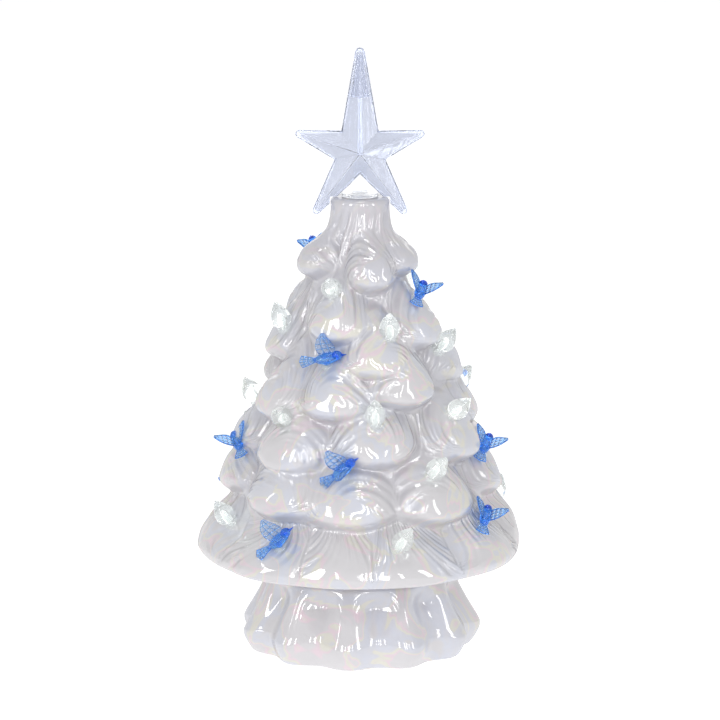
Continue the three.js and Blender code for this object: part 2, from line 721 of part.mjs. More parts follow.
function makeLight() {
  const low = postBottom + postFlangeThickness;
  const sleeve = joined([
    rod(postRadius, postBottom, postTop, 10),
    rod(postFlangeRadius, postBottom, low, 12),
  ]);
  const bore = solidOf(rod(postBore, postBottom - 1, postTop + 1, 10));
  const window = solidOf(block([4, postRadius * 3, 9], [0, 0, low + 4.7])
    .rotateZ(Math.atan2(5, 7)));
  addNode('led_post', geometryOf(sleeve.subtract(bore).subtract(window)), whitePlastic);

  const boardBottom = postTop + gap;
  const boardTop = boardBottom + boardThickness;
  addNode('led_board', rod(boardRadius, boardBottom, boardTop, 16), board);
  const dome = turned([
    [0, 0], [ledRadius + 0.5, 0], [ledRadius + 0.5, 1], [ledRadius, 1],
    [ledRadius, ledHeight - ledRadius], [ledRadius * 0.7, ledHeight - ledRadius * 0.3],
    [0, ledHeight],
  ], 7);
  for (let i = 0; i < ledCount; i++) {
    const turn = (i / ledCount) * Math.PI * 2;
    addNode(`led_${i + 1}`, dome.clone(), clearPlastic, new THREE.Matrix4()
      .makeTranslation(Math.sin(turn) * ledCircle, -Math.cos(turn) * ledCircle, boardTop + gap));
  }
  addNode('wire_red', tube(wirePath(1), wireRadius, 6, 24), redWire);
  addNode('wire_black', tube(wirePath(-1), wireRadius, 6, 24), blackPlastic);
}

const bulbSeats = bulbs.map(([azimuth, height, ...lean]) => seatOf(azimuth, height, ...lean));
const birdSeats = birds.map(([azimuth, height]) => seatOf(azimuth, height, birdPinLean, azimuth));
const glaze = treeSolid(glazeGap);
makeFoot();
makeTree([...bulbSeats, ...birdSeats]);
makeBulbs(bulbSeats, glaze);
makeBirds(birdSeats, glaze);
makeStar();
makeCase();
makeDoor();
makeCells();
makeContacts();
makeSwitch();
makeLight();

export default tree;
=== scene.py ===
# A glazed ceramic table tree on a fluted foot, with clear bulbs, blue birds and a clear star.
# Sizes in the dictionaries are millimetres; every finished mesh is scaled to metres.

import math

import bmesh
import bpy
import numpy as np
from mathutils import Matrix, Vector


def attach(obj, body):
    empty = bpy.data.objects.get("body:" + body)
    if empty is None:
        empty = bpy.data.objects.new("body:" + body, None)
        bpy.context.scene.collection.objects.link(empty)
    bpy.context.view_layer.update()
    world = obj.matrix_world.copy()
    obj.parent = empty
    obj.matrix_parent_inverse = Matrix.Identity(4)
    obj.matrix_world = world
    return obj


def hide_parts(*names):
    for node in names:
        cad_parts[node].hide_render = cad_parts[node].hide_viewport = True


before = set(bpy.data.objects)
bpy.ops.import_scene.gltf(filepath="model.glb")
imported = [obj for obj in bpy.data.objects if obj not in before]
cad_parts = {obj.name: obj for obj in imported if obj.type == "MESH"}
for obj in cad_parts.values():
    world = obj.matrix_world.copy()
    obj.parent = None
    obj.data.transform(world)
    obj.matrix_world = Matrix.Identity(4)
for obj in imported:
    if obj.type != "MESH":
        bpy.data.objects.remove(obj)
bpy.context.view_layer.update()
mm = 0.001

# Camera, at the photograph's angle

view = {"back": 2.2, "height": 0.6003, "down": 11.03, "lens": 190.55, "sensor": 36}


def makeCamera():
    data = bpy.data.cameras.new("camera")
    data.lens, data.sensor_width = view["lens"], view["sensor"]
    data.clip_start, data.clip_end = 0.1, 50
    camera = bpy.data.objects.new("camera", data)
    camera.location = (0, -view["back"], view["height"])
    camera.rotation_euler = (math.radians(90 - view["down"]), 0, 0)
    bpy.context.scene.collection.objects.link(camera)
    bpy.context.scene.camera = camera


makeCamera()
print("camera placed")

# Studio: a pale floor, soft boxes and a white surround

studio = {
    "floorSize": 6,
    "floorColor": (0.55, 0.55, 0.55),
    "floorGlow": 0.8,  # lifts the floor to white where no shadow falls
    "floorBounce": 0.74,  # how much of that glow lights the object
    "surround": 0.36,  # how bright the room lights the object
    "boxes": [
        # place, aimed at this height, width, height, power
        {"place": (-1.15, -1.55, 0.85), "aim": 0.75, "size": (0.36, 1.3), "power": 9.5},
        {"place": (0.15, -1.95, 0.9), "aim": 0.8, "size": (0.11, 1.4), "power": 4},
        {"place": (0.48, -1.9, 0.9), "aim": 0.8, "size": (0.15, 1.4), "power": 5},
        {"place": (1.5, -1.1, 0.85), "aim": 0.75, "size": (0.24, 1.2), "power": 4.5},
        {"place": (0.05, -0.1, 1.75), "aim": 0.2, "size": (0.5, 0.22), "power": 2.6},
        {"place": (-0.5, -1.9, 1.0), "aim": 0.9, "size": (0.08, 1), "power": 2.2},
        {"place": (0.95, -1.75, 1.0), "aim": 0.9, "size": (0.09, 1), "power": 2.2},
        {"place": (-1.9, -0.7, 0.9), "aim": 0.8, "size": (0.12, 1.1), "power": 2.4},
        {"place": (0.0, 2.2, 1.3), "aim": 0.6, "size": (2.4, 1.6), "power": 9},
    ],
}


def makeStudio():
    scene = bpy.context.scene
    scene.view_settings.view_transform = "Standard"

    world = bpy.data.worlds.new("room")
    scene.world = world
    world.use_nodes = True
    nodes, links = world.node_tree.nodes, world.node_tree.links
    seen = seenRays(nodes, links)
    level = nodes.new("ShaderNodeMapRange")
    level.inputs["To Min"].default_value = studio["surround"]
    level.inputs["To Max"].default_value = 1
    links.new(seen, level.inputs["Value"])
    links.new(level.outputs["Result"], nodes["Background"].inputs["Strength"])
    nodes["Background"].inputs["Color"].default_value = (1, 1, 1, 1)

    bm = bmesh.new()
    bmesh.ops.create_grid(bm, x_segments=2, y_segments=2, size=studio["floorSize"])
    mesh = bpy.data.meshes.new("floor")
    bm.to_mesh(mesh)
    bm.free()
    floor = bpy.data.objects.new("floor", mesh)
    scene.collection.objects.link(floor)
    paper = bpy.data.materials.new("paperFloor")
    paper.use_nodes = True
    nodes, links = paper.node_tree.nodes, paper.node_tree.links
    nodes.clear()
    matt = nodes.new("ShaderNodeBsdfDiffuse")
    matt.inputs["Color"].default_value = (*studio["floorColor"], 1)
    seen = seenRays(nodes, links)
    glow = nodes.new("ShaderNodeEmission")
    strength = nodes.new("ShaderNodeMapRange")
    strength.inputs["To Min"].default_value = studio["floorBounce"]
    strength.inputs["To Max"].default_value = studio["floorGlow"]
    links.new(seen, strength.inputs["Value"])
    links.new(strength.outputs["Result"], glow.inputs["Strength"])
    both = nodes.new("ShaderNodeAddShader")
    output = nodes.new("ShaderNodeOutputMaterial")
    links.new(matt.outputs[0], both.inputs[0])
    links.new(glow.outputs[0], both.inputs[1])
    links.new(both.outputs[0], output.inputs["Surface"])
    mesh.materials.append(paper)

    for i, box in enumerate(studio["boxes"]):
        data = bpy.data.lights.new(f"softBox{i + 1}", "AREA")
        data.shape = "RECTANGLE"
        data.size, data.size_y = box["size"]
        data.energy = box["power"]
        lamp = bpy.data.objects.new(f"softBox{i + 1}", data)
        lamp.location = box["place"]
        aim = Vector((0, 0, box["aim"])) - lamp.location
        lamp.rotation_euler = aim.to_track_quat("-Z", "Y").to_euler()
        scene.collection.objects.link(lamp)


def seenRays(nodes, links):
    # 1 for the camera, a reflection or a view through clear plastic, and 0 for light on the object
    rays = nodes.new("ShaderNodeLightPath")
    total = rays.outputs["Is Camera Ray"]
    for socket in (rays.outputs["Is Glossy Ray"], rays.outputs["Is Transmission Ray"]):
        plus = nodes.new("ShaderNodeMath")
        plus.operation = "ADD"
        plus.use_clamp = True
        links.new(total, plus.inputs[0])
        links.new(socket, plus.inputs[1])
        total = plus.outputs[0]
    return total


makeStudio()
print("studio lit")

# Materials


def paint(red, green, blue):
    levels = [c / 255 for c in (red, green, blue)]
    return (*[((c + 0.055) / 1.055) ** 2.4 if c > 0.04 else c / 12.92 for c in levels], 1)


def newGroup(name, inputs, outputs):
    group = bpy.data.node_groups.new(name, "ShaderNodeTree")
    for label, kind, value in inputs:
        socket = group.interface.new_socket(name=label, in_out="INPUT", socket_type=kind)
        if value is not None:
            socket.default_value = value
    for label, kind in outputs:
        group.interface.new_socket(name=label, in_out="OUTPUT", socket_type=kind)
    return group, group.nodes.new("NodeGroupInput"), group.nodes.new("NodeGroupOutput")


def makeDriftGroup():
    group, given, made = newGroup("colourDrift", [
        ("Vector", "NodeSocketVector", None), ("Scale", "NodeSocketFloat", 20.0),
        ("Amount", "NodeSocketFloat", 0.5), ("Main", "NodeSocketColor", (0.8, 0.8, 0.8, 1)),
        ("Pink", "NodeSocketColor", (0.8, 0.7, 0.7, 1)), ("Yellow", "NodeSocketColor", (0.8, 0.8, 0.7, 1)),
        ("Blue", "NodeSocketColor", (0.7, 0.7, 0.8, 1)),
    ], [("Color", "NodeSocketColor")])
    nodes, links = group.nodes, group.links
    clouds = nodes.new("ShaderNodeTexNoise")
    clouds.inputs["Detail"].default_value = 2
    clouds.inputs["Distortion"].default_value = 1.2
    links.new(given.outputs["Vector"], clouds.inputs["Vector"])
    links.new(given.outputs["Scale"], clouds.inputs["Scale"])
    fringe = nodes.new("ShaderNodeValToRGB")  # thin rings of colour, like oil on water
    ramp = fringe.color_ramp
    ramp.elements[0].position, ramp.elements[0].color = 0.43, (0, 0, 0, 1)
    ramp.elements[1].position, ramp.elements[1].color = 0.68, (0, 0, 0, 1)
    for position, level in ((0.455, 1.0), (0.475, 0.8), (0.495, 1.0), (0.52, 0.3), (0.6, 0.6)):
        ramp.elements.new(position).color = (level, level, level, 1)
    links.new(clouds.outputs["Fac"], fringe.inputs["Fac"])
    tinted = given.outputs["Pink"]
    for label, low, high in (("Yellow", 0.46, 0.48), ("Blue", 0.5, 0.52)):
        side = nodes.new("ShaderNodeMapRange")
        side.inputs["From Min"].default_value = low
        side.inputs["From Max"].default_value = high
        links.new(clouds.outputs["Fac"], side.inputs["Value"])
        tint = nodes.new("ShaderNodeMix")
        tint.data_type = "RGBA"
        links.new(side.outputs["Result"], tint.inputs["Factor"])
        links.new(tinted, tint.inputs["A"])
        links.new(given.outputs[label], tint.inputs["B"])
        tinted = tint.outputs["Result"]
    share = nodes.new("ShaderNodeMath")
    share.operation = "MULTIPLY"
    links.new(fringe.outputs["Color"], share.inputs[0])
    links.new(given.outputs["Amount"], share.inputs[1])
    mixed = nodes.new("ShaderNodeMix")
    mixed.data_type = "RGBA"
    links.new(share.outputs[0], mixed.inputs["Factor"])
    links.new(given.outputs["Main"], mixed.inputs["A"])
    links.new(tinted, mixed.inputs["B"])
    links.new(mixed.outputs["Result"], made.inputs["Color"])
    return group


def makeGrainGroup():
    group, given, made = newGroup("mouldGrain", [
        ("Vector", "NodeSocketVector", None), ("Scale", "NodeSocketFloat", 900.0),
        ("Low", "NodeSocketFloat", 0.35), ("High", "NodeSocketFloat", 0.5),
    ], [("Height", "NodeSocketFloat"), ("Roughness", "NodeSocketFloat")])
    nodes, links = group.nodes, group.links
    grain = nodes.new("ShaderNodeTexNoise")
    grain.inputs["Detail"].default_value = 3
    links.new(given.outputs["Vector"], grain.inputs["Vector"])
    links.new(given.outputs["Scale"], grain.inputs["Scale"])
    wear = nodes.new("ShaderNodeTexNoise")
    wear.inputs["Scale"].default_value = 60
    links.new(given.outputs["Vector"], wear.inputs["Vector"])
    rough = nodes.new("ShaderNodeMapRange")
    rough.inputs["From Min"].default_value = 0.35
    rough.inputs["From Max"].default_value = 0.65
    links.new(wear.outputs["Fac"], rough.inputs["Value"])
    links.new(given.outputs["Low"], rough.inputs["To Min"])
    links.new(given.outputs["High"], rough.inputs["To Max"])
    links.new(grain.outputs["Fac"], made.inputs["Height"])
    links.new(rough.outputs["Result"], made.inputs["Roughness"])
    return group


driftGroup = makeDriftGroup()
grainGroup = makeGrainGroup()


def newMaterial(name):
    made = bpy.data.materials.new(name)
    made.use_nodes = True
    nodes, links = made.node_tree.nodes, made.node_tree.links
    place = nodes.new("ShaderNodeTexCoord")
    return made, nodes, links, nodes["Principled BSDF"], place.outputs["Object"]


def addBump(nodes, links, shader, height, distance, strength):
    bump = nodes.new("ShaderNodeBump")
    bump.inputs["Distance"].default_value = distance
    bump.inputs["Strength"].default_value = strength
    links.new(height, bump.inputs["Height"])
    links.new(bump.outputs["Normal"], shader.inputs["Normal"])


def placeGroup(nodes, links, group, place, values):
    used = nodes.new("ShaderNodeGroup")
    used.node_tree = group
    links.new(place, used.inputs["Vector"])
    for label, value in values.items():
        used.inputs[label].default_value = value
    return used


# hollow is the darker colour of the painted shade in the creases, over the neck and in the foot's flutes
glaze = {
    "main": (199, 197, 200), "hollow": (182, 180, 187), "pink": (224, 190, 204),
    "yellow": (216, 213, 188), "blue": (186, 199, 227), "drift": 32, "driftAmount": 0.5,
    "roughness": 0.08, "coat": 1, "coatRoughness": 0.012, "coatIor": 1.8, "strandHeight": 0.0008,
    "ripple": 150.0, "rippleShare": 0.12, "rippleStrength": 0.55,
    "edgeGloss": 0, "edgeFrom": 0.55, "edgeTo": 0.9,  # how the shine runs out towards the outline
}


def makeGlaze():
    made, nodes, links, shader, place = newMaterial("pearlGlaze")
    tint = placeGroup(nodes, links, driftGroup, place, {
        "Scale": float(glaze["drift"]), "Amount": glaze["driftAmount"], "Main": paint(*glaze["main"]),
        "Pink": paint(*glaze["pink"]), "Yellow": paint(*glaze["yellow"]), "Blue": paint(*glaze["blue"])})
    hollow = nodes.new("ShaderNodeAttribute")  # painted shade: 1 where the glaze is darkened in the creases between branches, over the neck and faintly in the foot's flutes
    hollow.attribute_name = "hollow"
    paintedShadeMix = nodes.new("ShaderNodeMix")
    paintedShadeMix.data_type = "RGBA"
    paintedShadeMix.inputs["B"].default_value = paint(*glaze["hollow"])
    links.new(hollow.outputs["Fac"], paintedShadeMix.inputs["Factor"])
    links.new(tint.outputs["Color"], paintedShadeMix.inputs["A"])
    links.new(paintedShadeMix.outputs["Result"], shader.inputs["Base Color"])
    ripple = placeGroup(nodes, links, grainGroup, place, {
        "Scale": glaze["ripple"], "Low": glaze["roughness"] - 0.04, "High": glaze["roughness"] + 0.05})
    links.new(ripple.outputs["Roughness"], shader.inputs["Roughness"])
    strand = nodes.new("ShaderNodeAttribute")  # counts the fine strands across each lock
    strand.attribute_name = "strand"
    amount = nodes.new("ShaderNodeAttribute")
    amount.attribute_name = "strandAmount"
    wave = nodes.new("ShaderNodeMath")
    wave.operation = "SINE"
    links.new(strand.outputs["Fac"], wave.inputs[0])
    combed = nodes.new("ShaderNodeMath")
    combed.operation = "MULTIPLY"
    links.new(wave.outputs[0], combed.inputs[0])
    links.new(amount.outputs["Fac"], combed.inputs[1])
    height = nodes.new("ShaderNodeMath")
    height.operation = "MULTIPLY_ADD"
    height.inputs[1].default_value = glaze["rippleShare"]
    links.new(ripple.outputs["Height"], height.inputs[0])
    links.new(combed.outputs[0], height.inputs[2])
    addBump(nodes, links, shader, height.outputs[0], glaze["strandHeight"], glaze["rippleStrength"])
    facing = nodes.new("ShaderNodeLayerWeight")
    facing.inputs["Blend"].default_value = 0.5
    for label, full in (("Coat Weight", glaze["coat"]), ("Specular IOR Level", 0.5)):
        shine = nodes.new("ShaderNodeMapRange")
        shine.inputs["From Min"].default_value = glaze["edgeFrom"]
        shine.inputs["From Max"].default_value = glaze["edgeTo"]
        shine.inputs["To Min"].default_value = full
        shine.inputs["To Max"].default_value = full * glaze["edgeGloss"]
        links.new(facing.outputs["Facing"], shine.inputs["Value"])
        links.new(shine.outputs["Result"], shader.inputs[label])
    shader.inputs["IOR"].default_value = 1.5
    shader.inputs["Coat Roughness"].default_value = glaze["coatRoughness"]
    shader.inputs["Coat IOR"].default_value = glaze["coatIor"]
    return made


# how the colour of plain materials drifts: its scale and amount, and how deep its three tints are
drifts = {
    "clear": {"scale": 180.0, "amount": 0.25, "Pink": 0.95, "Yellow": 1, "Blue": 0.97},
    "solid": {"scale": 90.0, "amount": 0.3, "Pink": 0.94, "Yellow": 0.97, "Blue": 0.95},
}


def addDrift(nodes, links, shader, place, color, drift):
    values = {"Scale": drift["scale"], "Amount": drift["amount"], "Main": paint(*color)}
    for label in ("Pink", "Yellow", "Blue"):
        values[label] = paint(*[c * drift[label] for c in color])
    tint = placeGroup(nodes, links, driftGroup, place, values)
    links.new(tint.outputs["Color"], shader.inputs["Base Color"])


def addGrain(nodes, links, shader, place, grade, distance, strength):
    scale, low, high = grade
    grain = placeGroup(nodes, links, grainGroup, place, {"Scale": scale, "Low": low, "High": high})
    links.new(grain.outputs["Roughness"], shader.inputs["Roughness"])
    addBump(nodes, links, shader, grain.outputs["Height"], distance, strength)


clearGrain = {"scale": 420.0, "spread": 0.06, "distance": 0.0004}
clearParts = {
    # through: how much light passes; glow: painted light, an emission that brightens the plastic though it
    # is no lamp;
    # stretch and bump: how far the grain is drawn out upwards, less being more, and how strong it is
    "bulbClear": {"color": (249, 253, 251), "roughness": 0.01, "ior": 1.45, "through": 0.86, "glow": 0.08,
                  "stretch": 1, "bump": 0.03},
    "starClear": {"color": (226, 229, 238), "roughness": 0.02, "ior": 1.45, "through": 1, "glow": 0,
                  "stretch": 0.07, "bump": 1},
    # starEdge glows most: a painted highlight along the star's edges and rib
    "starEdge": {"color": (240, 244, 255), "roughness": 0.1, "ior": 1.25, "through": 0.5, "glow": 0.28,
                 "stretch": 1, "bump": 0.15},
    "stemClear": {"color": (246, 248, 252), "roughness": 0.12, "ior": 1.4, "through": 0.9, "glow": 0.05,
                  "stretch": 1, "bump": 0.3},
    "lensClear": {"color": (250, 244, 222), "roughness": 0.04, "ior": 1.5, "through": 0.95, "glow": 0,
                  "stretch": 1, "bump": 0.15},
    "birdBlue": {"color": (118, 186, 251), "roughness": 0.04, "ior": 1.45, "through": 0.92, "glow": 0.06,
                 "stretch": 1, "bump": 0.3},
    "birdDeep": {"color": (54, 130, 240), "roughness": 0.04, "ior": 1.45, "through": 0.88, "glow": 0.04,
                 "stretch": 1, "bump": 0.15},
    "birdWing": {"color": (218, 233, 255), "roughness": 0.06, "ior": 1.3, "through": 0.95, "glow": 0,
                 "stretch": 1, "bump": 0.15},
}


def makeClear(name):
    part = clearParts[name]
    made, nodes, links, shader, place = newMaterial(name)
    addDrift(nodes, links, shader, place, part["color"], drifts["clear"])
    drawn = nodes.new("ShaderNodeMapping")
    drawn.inputs["Scale"].default_value = (1, 1, part["stretch"])
    links.new(place, drawn.inputs["Vector"])
    grade = (clearGrain["scale"], part["roughness"], part["roughness"] + clearGrain["spread"])
    addGrain(nodes, links, shader, drawn.outputs["Vector"], grade, clearGrain["distance"], part["bump"])
    shader.inputs["Transmission Weight"].default_value = part["through"]
    # painted light: the part glows in its own colour, though it is no lamp
    shader.inputs["Emission Color"].default_value = paint(*part["color"])
    shader.inputs["Emission Strength"].default_value = part["glow"]
    shader.inputs["IOR"].default_value = part["ior"]
    return made


solidGrainDepth = 0.0002
solidParts = {
    "caseWhite": {"color": (228, 227, 222), "low": 0.42, "high": 0.55,
                  "scale": 1400.0, "bump": 0.3, "metal": 0},
    "switchBlack": {"color": (30, 31, 34), "low": 0.4, "high": 0.55,
                    "scale": 1800.0, "bump": 0.3, "metal": 0},
    "springNickel": {"color": (196, 192, 182), "low": 0.2, "high": 0.36,
                     "scale": 700.0, "bump": 0.1, "metal": 1},
    "boardMask": {"color": (238, 238, 232), "low": 0.3, "high": 0.45,
                  "scale": 900.0, "bump": 0.15, "metal": 0},
    "leadRed": {"color": (176, 32, 30), "low": 0.35, "high": 0.5,
                "scale": 1200.0, "bump": 0.1, "metal": 0},
    "leadBlack": {"color": (28, 28, 30), "low": 0.35, "high": 0.5,
                  "scale": 1200.0, "bump": 0.1, "metal": 0},
}


def makeSolid(name):
    part = solidParts[name]
    made, nodes, links, shader, place = newMaterial(name)
    addDrift(nodes, links, shader, place, part["color"], drifts["solid"])
    grade = (part["scale"], part["low"], part["high"])
    addGrain(nodes, links, shader, place, grade, solidGrainDepth, part["bump"])
    shader.inputs["Metallic"].default_value = part["metal"]
    return made


sleeve = {
    "main": (52, 66, 60), "band": (188, 150, 84), "bandFrom": 0.78, "halfLength": 0.027, "metal": 0.35,
    "grade": (500.0, 0.28, 0.42), "grainDepth": 0.0001, "bump": 0.1,
}


def makeSleeve():
    made, nodes, links, shader, place = newMaterial("cellSleeve")
    apart = nodes.new("ShaderNodeSeparateXYZ")
    links.new(place, apart.inputs["Vector"])
    band = nodes.new("ShaderNodeValToRGB")  # a plain sleeve with a lighter band near one end
    band.color_ramp.interpolation = "CONSTANT"
    band.color_ramp.elements[0].color = paint(*sleeve["main"])
    band.color_ramp.elements[1].position = sleeve["bandFrom"]
    band.color_ramp.elements[1].color = paint(*sleeve["band"])
    along = nodes.new("ShaderNodeMapRange")
    along.inputs["From Min"].default_value = -sleeve["halfLength"]
    along.inputs["From Max"].default_value = sleeve["halfLength"]
    links.new(apart.outputs["Y"], along.inputs["Value"])
    links.new(along.outputs["Result"], band.inputs["Fac"])
    links.new(band.outputs["Color"], shader.inputs["Base Color"])
    addGrain(nodes, links, shader, place, sleeve["grade"], sleeve["grainDepth"], sleeve["bump"])
    shader.inputs["Metallic"].default_value = sleeve["metal"]
    return made


finishes = {"pearlGlaze": makeGlaze(), "cellSleeve": makeSleeve()}
for name in clearParts:
    finishes[name] = makeClear(name)
for name in solidParts:
    finishes[name] = makeSolid(name)
print("materials made:", len(finishes))

# Shared modelling helpers

farOut = 1000  # stands in for the radius of a spun row that is shaped afterwards


def finishPiece(name, bm, materials, body, nodes, smooth=True):
    bmesh.ops.scale(bm, vec=(mm, mm, mm), verts=bm.verts)
    mesh = bpy.data.meshes.new(name)
    bm.to_mesh(mesh)
    bm.free()
    for material in materials:
        mesh.materials.append(finishes[material])
    if smooth:
        mesh.polygons.foreach_set("use_smooth", [True] * len(mesh.polygons))
    piece = bpy.data.objects.new(name, mesh)
    bpy.context.scene.collection.objects.link(piece)
    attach(piece, body)
    if nodes:
        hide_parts(*nodes)
    return piece


def spunProfile(profile, steps, closed=False):
    bm = bmesh.new()
    points = [bm.verts.new((radius, 0, height)) for radius, height in profile]
    for a, b in zip(points, points[1:]):
        bm.edges.new((a, b))
    if closed:
        bm.edges.new((points[-1], points[0]))
    bmesh.ops.spin(bm, geom=bm.verts[:] + bm.edges[:], cent=(0, 0, 0), axis=(0, 0, 1),
                   angle=math.tau, steps=steps, use_merge=True)
    bmesh.ops.remove_doubles(bm, verts=bm.verts, dist=1e-5)
    bmesh.ops.recalc_face_normals(bm, faces=bm.faces)
    return bm


def takeCoordinates(bm):
    return np.array([v.co[:] for v in bm.verts])


def giveCoordinates(bm, coordinates):
    for v, place in zip(bm.verts, coordinates.tolist()):
        v.co = place


def giveField(piece, label, where, values):
    # a number at each point, zero where it isn't given
    field = np.zeros(len(where), np.float32)
    field[where] = values
    piece.data.attributes.new(label, "FLOAT", "POINT").data.foreach_set("value", field)


def smoothStep(value, low, high):
    share = np.clip((value - low) / (high - low), 0, 1)
    return share * share * (3 - 2 * share)


def roundedEdge(height, end, radius):
    into = np.clip(1 - np.abs(height - end) / radius, 0, 1)
    return radius * (1 - np.sqrt(1 - into ** 2))


# Tree shell

tree = {
    "bottom": 56.3, "rim": 2.2, "neckTop": 268.6, "neckRadius": 17.2, "neckRound": 3, "neckLength": 14,
    "neckFlare": 1.7, "skirtRadius": 97.2, "skirtHeight": 62, "topReach": 39, "topRow": 230,
    "reachCurve": 1.08, "depth": 17, "rise": 38, "curl": 16, "halfWidth": 16, "widening": 0.34,
    "sweep": 1, "nose": 0.16, "fullness": 1.3, "sharpness": 3.6, "creaseFill": 0.21, "skirtFill": 0.8,
    "skirtSpread": 13,
    "wall": 3.2, "floor": 5, "mouth": 50, "stemHole": 5.8, "hollowDepth": 3, "hollowRadius": 7.5,
    "around": 360, "rows": 236, "strands": 4.6, "fan": 4.6, "strandDepth": 1.9, "lipRoll": 0.7,
    "twist": 0.9, "swell": 0.55, "steepness": 2.6,
    "skirtRow": 75,  # branches whose tips are lower than this belong to the skirt
    "neckFrom": 240, "neckFull": 256,  # between these the branches' surface gives way to the neck's
}

# azimuth from the front and height of each branch's tip
branches = [
    (-73, 234), (14, 229), (61, 236), (129, 231), (183, 233), (240, 231), (-126, 203),
    (-21, 200), (58, 195), (134, 196), (192, 203), (-95, 184), (13, 181), (90, 172), (150, 178),
    (218, 180), (-123, 164), (-58, 154), (-16, 158), (30, 164), (90, 146), (150, 150),
    (203, 155), (-94, 130), (-41, 127), (8, 133), (63, 130), (111, 122), (170, 128), (222, 126),
    (-91, 106), (-39, 101), (-5, 99), (38, 99), (93, 104), (142, 102), (192, 100), (238, 103),
    (-118, 66), (-87, 68), (-35, 61), (-8, 61), (18, 62), (59, 67), (97, 74), (146, 64),
    (180, 64), (212, 64),
]

# azimuth and height of each bulb's seat, its lean, and the azimuth that it leans to
bulbs = [
    (-28, 217.5, 60, -10), (134, 213, 40, 134), (-81, 192.5, 20, -90), (22.5, 193.5, 24, 0),
    (74, 180.5, 38, 85), (150, 195, 40, 160), (106, 153, 40, 90), (-95.5, 146, 28, -80),
    (-44.5, 144.5, 60, -30), (8, 146.5, 22, 0), (59, 145, 48, 72), (170, 145, 40, 175),
    (222, 143, 45, 222), (34.5, 115, 42, 60), (142, 119, 40, 140), (238, 120, 40, 240),
    (-72, 79.5, 35, -80), (15, 77.5, 35, 55), (108, 82, 18, 95), (180, 81, 40, 185),
]

# azimuth and height of each bird's seat, then the azimuth that it flies to, its climb and its bank
birds = [
    (225, 229, 200, 30, -20), (61.5, 211, 170, 18, 25), (196, 213, 130, 30, 10),
    (-23.5, 177, 88, 8, 45), (195, 167, 250, 30, -10), (118, 141, 160, 35, 10),
    (-82, 119.5, 190, 18, -30), (-8, 117, 82, 36, 58), (85.5, 117, 165, 20, 28),
    (192, 117, 200, 30, 15), (-118, 83, 205, 35, -20), (-32.5, 76, 85, 38, 40),
    (58.5, 82.5, 172, 20, 25), (146, 81, 120, 30, 20),
]


def reachAt(height):
    climb = np.maximum(0, (height - tree["skirtHeight"]) / (tree["topRow"] - tree["skirtHeight"]))
    return tree["skirtRadius"] - (tree["skirtRadius"] - tree["topReach"]) * climb ** tree["reachCurve"]


def coreAt(height):
    shoulderTop = tree["neckTop"] - tree["neckRound"]
    shoulder = np.maximum(0, shoulderTop - height)
    flare = (shoulder / (shoulderTop - tree["topRow"])) ** tree["neckFlare"]
    neck = tree["neckRadius"] + (tree["topReach"] - tree["depth"] - tree["neckRadius"]) * flare
    return np.where(height <= tree["topRow"], reachAt(height) - tree["depth"], neck)


def nearness(branch, azimuth, height):
    # 0 at a branch's tip and 1 at its edge; also how far aside and above the tip, from -1 to 1
    tipAzimuth, tipHeight = branch
    reach = float(reachAt(np.float64(tipHeight)))
    above = height - tipHeight
    turn = (azimuth - tipAzimuth + 180) % 360 - 180
    aside = np.radians(turn) * reach / (tree["halfWidth"] + tree["widening"] * reach)
    along = np.where(above > 0, above / tree["rise"], above / tree["curl"])
    drawnIn = tree["sweep"] * (np.hypot(along, tree["nose"]) - tree["nose"])
    edge = aside ** 2 + np.where(above > 0, drawnIn, along ** 2)
    return edge, aside, along


def hollows(azimuth, height):
    depth = 0
    for seatAzimuth, seatHeight, *_ in bulbs + birds:
        turn = (azimuth - seatAzimuth + 180) % 360 - 180
        aside = np.radians(turn) * float(reachAt(np.float64(seatHeight)))
        away = (aside ** 2 + (height - seatHeight) ** 2) / tree["hollowRadius"] ** 2
        depth = depth + tree["hollowDepth"] * np.exp(-away)
    return depth


def shellRadius(azimuth, height):
    total = tree["creaseFill"] ** tree["sharpness"]
    skirt = tree["skirtFill"] * np.exp(-((height - tree["skirtHeight"]) / tree["skirtSpread"]) ** 2)
    total = total + skirt ** tree["sharpness"]
    for branch in branches:
        edge, _, _ = nearness(branch, azimuth, height)
        total = total + np.maximum(0, 1 - edge) ** (tree["fullness"] * tree["sharpness"])
    nearNeck = smoothStep(height, tree["topRow"], tree["neckTop"] - tree["neckRound"])
    blended = total ** (1 / tree["sharpness"]) * (1 - nearNeck)
    raised = tree["depth"] * (1 - np.exp(-tree["steepness"] * blended ** 2))
    return coreAt(height) + raised - hollows(azimuth, height)


